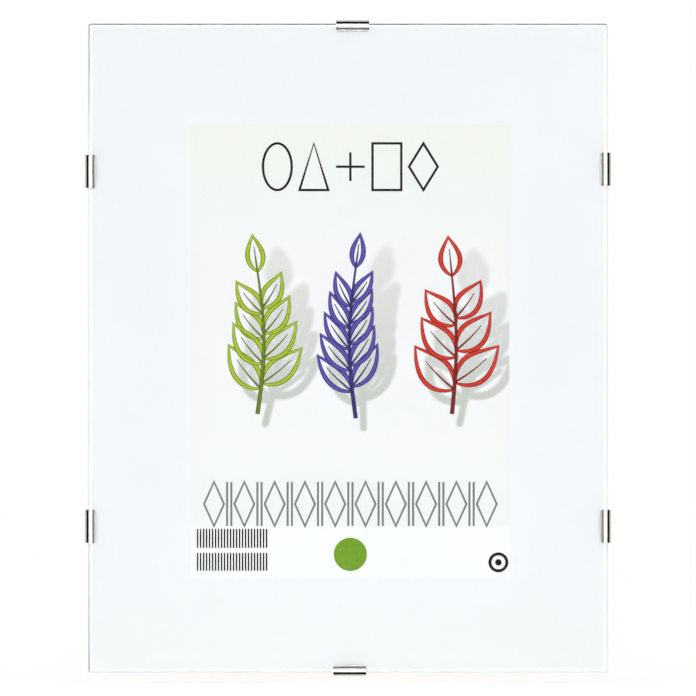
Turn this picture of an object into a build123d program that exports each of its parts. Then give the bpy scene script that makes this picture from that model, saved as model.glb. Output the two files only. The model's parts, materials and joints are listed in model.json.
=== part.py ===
from build123d import *
import os
from math import cos, hypot, radians, sin, sqrt, tan

# Clip frame for a 24 x 30 cm picture, in millimetres.
# X is the width and Z is up. Y runs from the glass, in front, back to the wall.
# The origin is on the axis of the upright keyhole, in the back face of the board.

# Glass pane
pane_width = 240.0
pane_height = 300.0
glass_thickness = 2.0
ground_edge = 0.4
pane_corner_cut = 0.6

# Printed A5 slip behind the glass, a little off the middle of the pane
slip_width = 148.0
slip_height = 210.0
slip_thickness = 0.12
slip_to_right = 1.1
slip_drop = 1.6
air_gap = 0.05

# White sheet between the slip and the board
sheet_margin = 1.3
sheet_thickness = 0.25

# Hardboard back
board_thickness = 3.0
slot_corner = 1.0
side_clip_spacing = 165.0

# Keyholes punched in the board: a round hole for a screw's head and a neck for its shank
keyhole_radius = 4.0
neck_width = 4.0
neck_run = 7.0
keyhole_past_slot = 30.2

# Spring clip, bent from one steel strip
strip_thickness = 0.5
clip_width = 15.3
bend_radius = 0.3

# Front of the clip: the lip rests on the glass, the crown stands off it, and the roll turns to the web.
# The crown falls a little towards the roll.
lip_length = 0.5
lip_angle = 4.5
lip_clearance = 0.05
lip_corner_cut = 0.8
crown_gap = 0.85
crown_angle = 45.0
crown_length = 1.5
crown_tilt = 4.0
roll_radius = 1.55
web_gap = 1.15

# Back of the clip: the corner and the bow, which clears the board's edge as the clip swings on its lip
corner_radius = 0.75
bow_clearance = 0.25
bow_end_radius = 1.25

# Leg and tail: flat on the board, a dip that drops into the slot, then a tab for the finger
leg_clearance = 0.05
dip_from_edge = 16.1
dip_depth_share = 0.6
dip_angle = 38.0
dip_clearance = 0.6
tab_rise = 3.0
tab_angle = 34.0
grip_length = 2.2
grip_angle = 12.0
tail_width = 10.0
tail_corner = 2.0

# Sideways play of a tail in its slot, and the share of it that each clip has taken up along its own X
slot_play = 2.4
play_taken_share = {
    "clip_top": 0.91,
    "clip_right_upper": -0.1,
    "clip_right_lower": 0,
    "clip_bottom": -0.33,
    "clip_left_lower": 0,
    "clip_left_upper": -0.33,
}

# How far a cutting shape runs past what it cuts
overrun = 1.0

# Depths of the stack. Y is zero at the back face of the board and falls towards the front.
board_front = -board_thickness
sheet_front = board_front - sheet_thickness
slip_front = sheet_front - slip_thickness
glass_back = slip_front - air_gap
glass_front = glass_back - glass_thickness

# Side view of the clip, worked out from the lip. Inward is measured from the pane's edge, over the glass.
half_strip = strip_thickness / 2
bend = bend_radius + half_strip
roll = roll_radius + half_strip
corner_bend = corner_radius + half_strip
bow_end_bend = bow_end_radius + half_strip
web_inward = -web_gap - half_strip
crown_depth = glass_front - crown_gap - half_strip
lip_depth = glass_front - lip_clearance - half_strip
knee_depth = lip_depth - lip_length * sin(radians(lip_angle))
crown_end_inward = web_inward + roll + crown_length
roll_corner_depth = crown_depth + (crown_end_inward - web_inward) * tan(radians(crown_tilt))
knee_inward = crown_end_inward + (knee_depth - crown_depth) / tan(radians(crown_angle))
lip_inward = knee_inward + lip_length * cos(radians(lip_angle))
leg_depth = leg_clearance + half_strip

# The bow is struck from the lip's centre, just outside the board's back edge
bow = hypot(lip_inward, lip_depth) + bow_clearance + half_strip
corner_inward = web_inward + corner_bend
corner_depth = lip_depth + sqrt((bow - corner_bend) ** 2 - (lip_inward - corner_inward) ** 2)
bow_end_depth = leg_depth + bow_end_bend
leg_inward = lip_inward + sqrt((bow + bow_end_bend) ** 2 - (bow_end_depth - lip_depth) ** 2)

# Dip, tab and grip
dip_bottom_depth = half_strip - dip_depth_share * board_thickness
dip_bottom_inward = dip_from_edge + (leg_depth - dip_bottom_depth) / tan(radians(dip_angle))
tab_end_inward = dip_bottom_inward + tab_rise / tan(radians(tab_angle))
tab_end_depth = dip_bottom_depth + tab_rise
tail_inward = tab_end_inward + grip_length * cos(radians(grip_angle))
tail_depth = tab_end_depth + grip_length * sin(radians(grip_angle))

# The board's slot follows the places where the dip passes through the board's back face
dip_half = half_strip / cos(radians(dip_angle))
tab_half = half_strip / cos(radians(tab_angle))
dip_enters = dip_from_edge + (leg_depth - dip_half) / tan(radians(dip_angle))
dip_leaves = dip_bottom_inward + (tab_half - dip_bottom_depth) / tan(radians(tab_angle))
slot_near = dip_enters - dip_clearance
slot_far = dip_leaves + dip_clearance
taper_share = (slot_near - leg_inward) / (tail_inward - leg_inward)
slot_length = clip_width + (tail_width - clip_width) * taper_share + 2 * slot_play

# The upright keyhole is the origin, and the pane hangs below it
keyhole_from_edge = slot_far + keyhole_past_slot
pane_drop = pane_height / 2 - keyhole_from_edge
side_keyhole_x = pane_width / 2 - keyhole_from_edge

# Each slot: the quarter turns from the top edge to its own, and its place from the pane's centre
side_clip_height = side_clip_spacing / 2
slot_places = {
    "clip_top": (0, 0, pane_height / 2),
    "clip_right_upper": (1, pane_width / 2, side_clip_height),
    "clip_right_lower": (1, pane_width / 2, -side_clip_height),
    "clip_bottom": (2, 0, -pane_height / 2),
    "clip_left_lower": (3, -pane_width / 2, -side_clip_height),
    "clip_left_upper": (3, -pane_width / 2, side_clip_height),
}


def upright_sheet(width, height, thickness, front, right=0, drop=0):
    """A flat sheet standing upright behind the pane, with its front face at the given depth."""
    return Pos(right, front + thickness / 2, -pane_drop - drop) * Box(width, thickness, height)


def at_edge(place):
    """The frame of one slot and its clip: the origin on the pane's edge, Z straight out of that edge."""
    quarter_turns, across, up = place
    return Pos(across, 0, up - pane_drop) * Rot(0, 90 * quarter_turns, 0)


def upright_cut(outline, near, far):
    """An outline drawn on the wall's plane, carried from the depth near to the depth far."""
    return Pos(0, far, 0) * extrude(Plane.XZ * outline, far - near)


def glass_pane():
    """The pane: corners dubbed, and the edges of both faces ground."""
    pane = upright_sheet(pane_width, pane_height, glass_thickness, glass_front)
    pane = chamfer(pane.edges().filter_by(Axis.Y), pane_corner_cut)
    faces = pane.faces().sort_by(Axis.Y)
    return chamfer(faces[0].edges() + faces[-1].edges(), ground_edge)


def keyhole_cut():
    """One keyhole with its round hole at the origin and its neck running up."""
    neck = Pos(0, neck_run / 2) * SlotCenterToCenter(neck_run, neck_width, rotation=90)
    return upright_cut(Circle(keyhole_radius) + neck, board_front - overrun, overrun)


def slot_cut():
    """One slot for a clip's tail, in the frame of that clip."""
    outline = RectangleRounded(slot_length, slot_far - slot_near, slot_corner)
    middle = Pos(0, -(slot_near + slot_far) / 2)
    return upright_cut(middle * outline, board_front - overrun, overrun)


def backing_board():
    """The hardboard back with a slot behind each clip, an upright keyhole and a lying one."""
    board = upright_sheet(pane_width, pane_height, board_thickness, board_front)
    for place in slot_places.values():
        board -= at_edge(place) * slot_cut()
    board -= keyhole_cut()
    board -= Pos(side_keyhole_x, 0, -pane_drop) * Rot(0, 90, 0) * keyhole_cut()
    return board


def side_point(inward, depth):
    """A point of the clip's side view, drawn with Y across the page and the pane's edge up."""
    return Vector(depth, -inward)


def along(start, towards, reach):
    """The point that lies reach away from start, on the line towards another point."""
    return start + (towards - start).normalized() * reach


def arc(start, end, centre):
    """The shorter arc from start to end about centre."""
    radius = (start - centre).length
    return ThreePointArc(start, along(centre, (start + end) / 2, radius), end)


def strip_line():
    """The middle line of the strip, from the centre of the lip's round end to the tail."""
    lip = side_point(lip_inward, lip_depth)
    knee = side_point(knee_inward, knee_depth)
    crown_end = side_point(crown_end_inward, crown_depth)
    roll_corner = side_point(web_inward, roll_corner_depth)
    web_end = side_point(web_inward, corner_depth)
    front = FilletPolyline(lip, knee, crown_end, roll_corner, web_end, radius=(bend, bend, roll))

    corner_centre = side_point(corner_inward, corner_depth)
    bow_end_centre = side_point(leg_inward, bow_end_depth)
    bow_start = along(lip, corner_centre, bow)
    bow_end = along(lip, bow_end_centre, bow)
    leg_start = side_point(leg_inward, leg_depth)
    corner = arc(web_end, bow_start, corner_centre)
    back = arc(bow_start, bow_end, lip)
    onto_leg = arc(bow_end, leg_start, bow_end_centre)

    dip_start = side_point(dip_from_edge, leg_depth)
    dip_bottom = side_point(dip_bottom_inward, dip_bottom_depth)
    tab_end = side_point(tab_end_inward, tab_end_depth)
    tail_end = side_point(tail_inward, tail_depth)
    tail = FilletPolyline(leg_start, dip_start, dip_bottom, tab_end, tail_end, radius=bend)
    return Wire(front.edges() + [corner, back, onto_leg] + tail.edges())


def lip_blank():
    """What the strip's outline keeps in front: full width, with the lip's corners cut off."""
    lip_end = lip_inward + half_strip
    web_back = web_inward - half_strip - overrun
    full = Pos(0, -(lip_end + web_back) / 2) * Rectangle(clip_width, lip_end - web_back)
    outline = chamfer(full.vertices().group_by(Axis.Y)[0], lip_corner_cut)
    return upright_cut(outline, crown_depth - half_strip - overrun, board_front)


def tail_blank():
    """What the strip's outline keeps behind: full width to the leg, then a taper to the tail."""
    web_back = web_inward - half_strip - overrun
    tail_end = tail_inward + half_strip
    half_clip = clip_width / 2
    half_tail = tail_width / 2
    right_side = [(half_clip, -web_back), (half_clip, -leg_inward), (half_tail, -tail_end)]
    left_side = [(-across, up) for across, up in reversed(right_side)]
    outline = make_face(Polyline(*right_side, *left_side, close=True))
    outline = fillet(outline.vertices().group_by(Axis.Y)[0], tail_corner)
    behind = max(tail_depth, lip_depth + bow) + half_strip + overrun
    return upright_cut(outline, board_front, behind)


def clip():
    """One spring clip in its own frame, closed on the stack."""
    section = make_face(offset(strip_line(), half_strip))
    strip = extrude(Plane.YZ * section, clip_width / 2 + overrun, both=True)
    return strip & (lip_blank() + tail_blank())


def write(name, solid):
    """Writes one piece to its own file."""
    solid.label = name
    export_step(solid, os.path.join("parts", name + ".step"))


def main():
    os.makedirs("parts", exist_ok=True)
    write("glass_pane", glass_pane())
    write("label_slip", upright_sheet(
        slip_width, slip_height, slip_thickness, slip_front, slip_to_right, slip_drop))
    write("backing_sheet", upright_sheet(
        pane_width - 2 * sheet_margin, pane_height - 2 * sheet_margin, sheet_thickness, sheet_front))
    write("backing_board", backing_board())
    one_clip = clip()
    for name, place in slot_places.items():
        shift = slot_play * play_taken_share[name]
        write(name, at_edge(place) * Pos(shift, 0, 0) * one_clip)


main()
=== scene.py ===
"""Looks of a clip frame for a 24 x 30 cm picture.

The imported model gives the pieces, their places and the axes on which the clips swing. This file gives every
visible surface its finish, and makes the pane, the bent clips and the print on the slip in finer form.
Lengths in the classes are millimetres, but for the studio's, and a mesh is put into the scene in metres.
X runs to the right, Y from the glass back to the wall, and Z up.
"""

import json
import logging
import math
from abc import ABC, abstractmethod
from dataclasses import dataclass
from enum import Enum
from functools import partial, reduce
from typing import Any, Callable, Mapping, Optional, Sequence, Union

import bmesh
import bpy
import numpy as np
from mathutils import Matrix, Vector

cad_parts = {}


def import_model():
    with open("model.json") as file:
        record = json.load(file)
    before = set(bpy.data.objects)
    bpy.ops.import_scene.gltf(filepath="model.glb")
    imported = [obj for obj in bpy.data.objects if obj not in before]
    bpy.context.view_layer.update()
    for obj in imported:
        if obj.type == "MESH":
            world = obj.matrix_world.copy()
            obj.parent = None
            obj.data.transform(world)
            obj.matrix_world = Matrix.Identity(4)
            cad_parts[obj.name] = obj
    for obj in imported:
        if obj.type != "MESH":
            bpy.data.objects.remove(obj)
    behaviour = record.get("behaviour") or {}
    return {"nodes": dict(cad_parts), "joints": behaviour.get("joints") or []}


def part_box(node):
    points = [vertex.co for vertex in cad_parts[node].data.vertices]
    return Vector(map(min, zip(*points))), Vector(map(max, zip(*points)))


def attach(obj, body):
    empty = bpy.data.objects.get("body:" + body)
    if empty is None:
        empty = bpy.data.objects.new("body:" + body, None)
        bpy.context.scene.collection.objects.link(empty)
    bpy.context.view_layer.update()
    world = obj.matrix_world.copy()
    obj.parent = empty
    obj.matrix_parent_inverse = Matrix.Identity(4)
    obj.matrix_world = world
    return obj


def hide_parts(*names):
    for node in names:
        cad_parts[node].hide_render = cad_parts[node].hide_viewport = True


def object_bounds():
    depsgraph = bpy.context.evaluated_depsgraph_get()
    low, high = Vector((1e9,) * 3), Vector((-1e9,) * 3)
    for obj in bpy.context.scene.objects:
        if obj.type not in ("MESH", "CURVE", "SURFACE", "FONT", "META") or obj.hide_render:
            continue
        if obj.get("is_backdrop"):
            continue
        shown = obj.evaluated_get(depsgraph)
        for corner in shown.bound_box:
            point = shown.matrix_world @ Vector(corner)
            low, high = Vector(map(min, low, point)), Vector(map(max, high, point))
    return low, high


LOG = logging.getLogger("clip_frame")
MM = 0.001
TONE = "tone"
LEAST_DIVISOR = 0.4

Array = np.ndarray
Point = tuple[float, float]
Place = tuple[float, float, float]
Colour = tuple[float, float, float, float]
Node = bpy.types.Node
Socket = bpy.types.NodeSocket
Piece = bpy.types.Object
Material = bpy.types.Material
Adder = Callable[..., Node]
Tones = tuple[tuple[float, str], ...]

WHITE: Colour = (1.0, 1.0, 1.0, 1.0)


def linear(hex_colour: str) -> Colour:
    """Turns an sRGB hex colour into the linear colour that a shader takes.

    Args:
        hex_colour: The colour as written on a colour card, such as "#C9C4BB".

    Returns:
        Red, green, blue and an alpha of one, all linear.
    """
    written = np.array([int(hex_colour[i : i + 2], 16) for i in (1, 3, 5)]) / 255
    light = np.where(written <= 0.04045, written / 12.92, ((written + 0.055) / 1.055) ** 2.4)
    return (*light.tolist(), 1.0)


def settled(value: Any) -> Any:
    """Turns a hex colour linear, and leaves any other value as it is."""
    return linear(value) if isinstance(value, str) else value


def add_node(
    tree: bpy.types.NodeTree,
    kind: str,
    *values: Any,
    named: Optional[Mapping[str, Any]] = None,
    stops: Sequence[tuple[float, Union[str, Colour]]] = (),
    **settings: Any,
) -> Node:
    """Adds one node, with its settings, its values and its links.

    A value may be a number, a vector, a hex colour, or the socket or node that feeds the input. A node feeds
    it from its first live output.

    Args:
        tree: The node tree that takes the node.
        kind: Blender's name for the node's class, without the word ShaderNode before it.
        values: What goes into the node's live inputs, in their order.
        named: What goes into inputs by name.
        stops: The places and colours of a colour ramp's stops.
        settings: The node's own properties.

    Returns:
        The new node.
    """
    node = tree.nodes.new("ShaderNode" + kind)
    for name, value in settings.items():
        setattr(node, name, value)
    fed = list(zip([socket for socket in node.inputs if socket.enabled], values))
    for socket, value in fed + [(node.inputs[name], value) for name, value in (named or {}).items()]:
        if isinstance(value, Node):
            value = next(output for output in value.outputs if output.enabled)
        if isinstance(value, Socket):
            tree.links.new(value, socket)
        else:
            socket.default_value = settled(value)
    if stops:
        elements = node.color_ramp.elements
        elements.remove(elements[1])
        elements[0].position = stops[0][0]
        for place, _ in stops[1:]:
            elements.new(place)
        for element, (_, colour) in zip(elements, stops):
            element.color = settled(colour)
    return node


def emptied(owner: Union[Material, bpy.types.World]) -> Adder:
    """Empties the node tree of a material or a world.

    Args:
        owner: The material or world.

    Returns:
        What adds a node to its tree, as add_node does.
    """
    owner.use_nodes = True
    owner.node_tree.nodes.clear()
    return partial(add_node, owner.node_tree)


def in_scene(name: str, data: bpy.types.ID) -> Piece:
    """Makes an object, and puts it into the scene.

    Args:
        name: The object's name.
        data: Its mesh or its camera.

    Returns:
        The new object.
    """
    thing = bpy.data.objects.new(name, data)
    bpy.context.scene.collection.objects.link(thing)
    return thing


@dataclass(frozen=True)
class Finish(ABC):
    """How one surface looks: what it is made of, and how it was worked."""

    title: str

    @abstractmethod
    def dress(self, add: Adder, place: Node) -> Node:
        """Adds the nodes of this finish.

        Args:
            add: What adds a node to the material, as add_node does.
            place: The Texture Coordinate node, whose Object output is in metres.

        Returns:
            The shader node.
        """

    def material(self) -> Material:
        """Makes the finish into a material.

        Returns:
            The new material.
        """
        material = bpy.data.materials.new(self.title)
        add = emptied(material)
        add("OutputMaterial", self.dress(add, add("TexCoord")))
        return material


@dataclass(frozen=True)
class NickelPlate(Finish):
    """Bright nickel, electroplated on cold-rolled spring steel strip.

    The eye gets mirror-like bands that follow the bends, broken by fine rolling lines along the strip, with
    faint yellow-grey stains and duller edges where the strip was sheared. Real rolling lines are finer, and
    are drawn wide enough here to show.
    """

    title: str = "bright_nickel_plate"
    plate: str = "#DEDDD9"
    stain: str = "#D3D0C7"
    bright_roughness: float = 0.11
    rolled_roughness: float = 0.17
    sheared_roughness: float = 0.34
    rolling_line_length: float = 18.0
    rolling_line_spacing: float = 0.25
    rolling_line_depth: float = 0.0004
    rolling_line_detail: float = 3.0
    rolling_window: Point = (0.35, 0.65)
    stain_size: float = 5.0
    stain_detail: float = 4.0
    stain_window: Point = (0.48, 0.78)

    def dress(self, add: Adder, place: Node) -> Node:
        """Adds the plate: stains in its colour, rolling lines in its roughness and relief.

        Args:
            add: What adds a node to the material.
            place: The Texture Coordinate node.

        Returns:
            The shader node.
        """
        stretch = (1 / (self.rolling_line_length * MM), 1 / (self.rolling_line_spacing * MM), 1.0)
        along = add("VectorMath", place.outputs["UV"], stretch, operation="MULTIPLY")
        lines = add("TexNoise", along, 1.0, self.rolling_line_detail)
        patches = add("TexNoise", place.outputs["Object"], 1 / (self.stain_size * MM), self.stain_detail)
        stops = tuple(zip(self.stain_window, (self.plate, self.stain)))
        stained = add("ValToRGB", patches, stops=stops)
        polish = add("MapRange", lines, *self.rolling_window, self.bright_roughness, self.rolled_roughness)
        sheared = add("Attribute", attribute_name="sheared").outputs["Fac"]
        roughness = add("Mix", sheared, polish, self.sheared_roughness)
        depth = self.rolling_line_depth * MM
        relief = add("Bump", named={"Height": lines, "Distance": depth, "Strength": 1.0})
        look = {"Base Color": stained, "Metallic": 1.0, "Roughness": roughness, "Normal": relief}
        return add("BsdfPrincipled", named=look)


def lit_through(add: Adder, surface: Node, tint: str) -> Node:
    """Lets the light for what lies behind a glass surface through, unbent.

    Args:
        add: What adds a node to the material.
        surface: The shader that is seen.
        tint: The colour that the light takes on.

    Returns:
        The mixed shader.
    """
    path = add("LightPath").outputs
    lighting = add("Math", path["Is Shadow Ray"], path["Is Diffuse Ray"], operation="MAXIMUM")
    return add("MixShader", lighting, surface, add("BsdfTransparent", tint))


@dataclass(frozen=True)
class ClearGlass(Finish):
    """Float glass with a non-reflecting coating on both faces, clear with a breath of green.

    Bare glass mirrors 4% of the light at each face. The coating leaves about 1.5%, so the index is lowered
    to 1.28, which mirrors as little. Light on its way to the paper goes straight through.
    """

    title: str = "coated_float_glass"
    tint: str = "#FEFFFF"
    index: float = 1.28
    roughness: float = 0.0

    def dress(self, add: Adder, place: Node) -> Node:
        """Adds plain clear glass."""
        look = {"Base Color": self.tint, "Roughness": self.roughness, "IOR": self.index}
        return lit_through(add, add("BsdfPrincipled", named={**look, "Transmission Weight": 1.0}), self.tint)


@dataclass(frozen=True)
class GroundGlass(Finish):
    """The pane's edges, ground on a belt: satin, sea-green where flat, with the belt's fine lines along them.

    The front arris is a hairline of grey with painted shade on it: darkest along the top, darkening towards
    its ends on the left, and pale on the right and at the bottom. The belt's lines are drawn a little wider
    than they are, so that they show.
    """

    title: str = "belt_ground_glass_edge"
    # Painted shade: the front arris's grey by side, darkest along the top, darkening towards the ends on the
    # left, and pale on the right and at the bottom.
    top: str = "#363A38"
    left_arris_shade_stops: Tones = (
        (0.0, "#5D605F"), (0.05, "#949896"), (0.12, "#B4B8B6"), (0.2, "#D4D8D6"), (0.3, "#F0F3F2"),
        (0.72, "#F6F9F8"), (0.82, "#E1E5E3"), (0.87, "#BFC3C1"), (0.94, "#7D807F"), (1.0, "#6D706F"),
    )
    right: str = "#E9EFEF"
    bottom: str = "#E6EDEB"
    flat: str = "#B4CAC2"
    inside: str = "#F4FAF7"
    index: float = 1.52
    roughness: float = 0.5
    facing_window: Point = (-0.6, -0.3)
    mark_size: Point = (4.0, 0.12)
    mark_detail: float = 5.0
    mark_window: Point = (0.25, 0.75)
    mark_shades: Point = (0.88, 1.06)
    foot: float = -248.0
    head: float = 52.0
    reach: float = 0.6

    def dress(self, add: Adder, place: Node) -> Node:
        """Adds the painted shade of each edge's arris by its place, with grinding marks over it.

        Args:
            add: What adds a node to the material.
            place: The Texture Coordinate node.

        Returns:
            The shader node.
        """
        across, _, up = add("SeparateXYZ", place.outputs["Object"]).outputs
        height = add("MapRange", up, self.foot * MM, self.head * MM)
        tone = add("ValToRGB", height, stops=self.left_arris_shade_stops)
        # Painted shade: the arris on each side takes its own grey, and the top's is darkest.
        edges = (
            (across, "GREATER_THAN", 0.0, self.right),
            (up, "LESS_THAN", self.foot + self.reach, self.bottom),
            (up, "GREATER_THAN", self.head - self.reach, self.top),
        )
        for way, test, limit, colour in edges:
            tone = add("Mix", add("Math", way, limit * MM, operation=test), tone, colour, data_type="RGBA")
        # Only the front arris takes the painted shade. The flat ground edge keeps its own sea-green.
        facing = add("SeparateXYZ", place.outputs["Normal"]).outputs[1]
        away = add("MapRange", facing, *self.facing_window)
        tone = add("Mix", away, tone, self.flat, data_type="RGBA")
        along, over = (1 / (size * MM) for size in self.mark_size)
        drawn = add("VectorMath", place.outputs["Object"], (along, over, along), operation="MULTIPLY")
        marks = add("TexNoise", drawn, 1.0, self.mark_detail)
        shade = add("MapRange", marks, *self.mark_window, *self.mark_shades)
        ground = add("VectorMath", tone, shade, operation="SCALE")
        look = {"Base Color": ground, "Roughness": self.roughness, "IOR": self.index}
        return lit_through(add, add("BsdfPrincipled", named=look), self.inside)


@dataclass(frozen=True)
class Paper(Finish):
    """Wood-free paper, plain or coated: flat white with a faint cloudiness where its fibres lie thicker.

    Where the mesh has a tone attribute, soft grey is printed on it, as dark as the attribute is large. The
    fibres are drawn coarser than real ones, so that they show.
    """

    title: str
    tones: Tones
    low: float
    high: float
    roughness: float
    printed_grey: str = "#CDD0C8"
    cloud_size: float = 70.0
    cloud_detail: float = 3.0
    cloud_window: Point = (0.3, 0.7)
    cloud_depth: float = 0.018
    fibre_size: float = 0.35
    fibre_detail: float = 4.0
    fibre_height: float = 0.003
    fibre_strength: float = 0.6
    sheen: float = 0.1

    def dress(self, add: Adder, place: Node) -> Node:
        """Adds the sheet's tones from its foot to its head, its clouds and its fibres.

        Args:
            add: What adds a node to the material.
            place: The Texture Coordinate node.

        Returns:
            The shader node.
        """
        here = place.outputs["Object"]
        up = add("SeparateXYZ", here).outputs[2]
        tone = add("ValToRGB", add("MapRange", up, self.low * MM, self.high * MM), stops=self.tones)
        clouds = add("TexNoise", here, 1 / (self.cloud_size * MM), self.cloud_detail)
        shade = add("MapRange", clouds, *self.cloud_window, 1 - self.cloud_depth, 1.0)
        shaded = add("VectorMath", tone, shade, operation="SCALE")
        printed = add("Attribute", attribute_name=TONE).outputs["Fac"]
        greyed = add("Mix", printed, WHITE, self.printed_grey, data_type="RGBA")
        colour = add("VectorMath", shaded, greyed, operation="MULTIPLY")
        fibres = add("TexNoise", here, 1 / (self.fibre_size * MM), self.fibre_detail)
        depth = self.fibre_height * MM
        relief = add("Bump", named={"Height": fibres, "Distance": depth, "Strength": self.fibre_strength})
        look = {"Base Color": colour, "Roughness": self.roughness, "Specular IOR Level": self.sheen}
        return add("BsdfPrincipled", named={**look, "Normal": relief})


@dataclass(frozen=True)
class PrintInk(Finish):
    """Offset ink on coated paper: even, and a little thinner here and there.

    A stroke's tone attribute runs from zero at its rims to one along its middle, where the ink is lighter.
    """

    title: str
    rim: str
    body: str
    heart: str
    mottle_size: float = 1.6
    mottle_detail: float = 5.0
    mottle_window: Point = (0.3, 0.7)
    mottle_depth: float = 0.12
    body_place: float = 0.55
    roughness: float = 0.6
    sheen: float = 0.04

    def dress(self, add: Adder, place: Node) -> Node:
        """Adds the ink's colour from rim to middle, mottled.

        Args:
            add: What adds a node to the material.
            place: The Texture Coordinate node.

        Returns:
            The shader node.
        """
        stroke = add("Attribute", attribute_name=TONE).outputs["Fac"]
        stops = ((0.0, self.rim), (self.body_place, self.body), (1.0, self.heart))
        colour = add("ValToRGB", stroke, stops=stops)
        mottle = add("TexNoise", place.outputs["Object"], 1 / (self.mottle_size * MM), self.mottle_detail)
        thinned = add("MapRange", mottle, *self.mottle_window, 1 - self.mottle_depth, 1 + self.mottle_depth)
        mottled = add("VectorMath", colour, thinned, operation="SCALE")
        look = {"Base Color": mottled, "Roughness": self.roughness, "Specular IOR Level": self.sheen}
        return add("BsdfPrincipled", named=look)


@dataclass(frozen=True)
class CutOut:
    """One punched hole in the board: its centre on the wall's plane, its half sizes and its corner radius.

    A mirrored one stands for its copies on the other sides of the pane's middle.
    """

    centre: Point
    half_size: Point
    radius: float
    mirrored: bool = False


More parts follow.
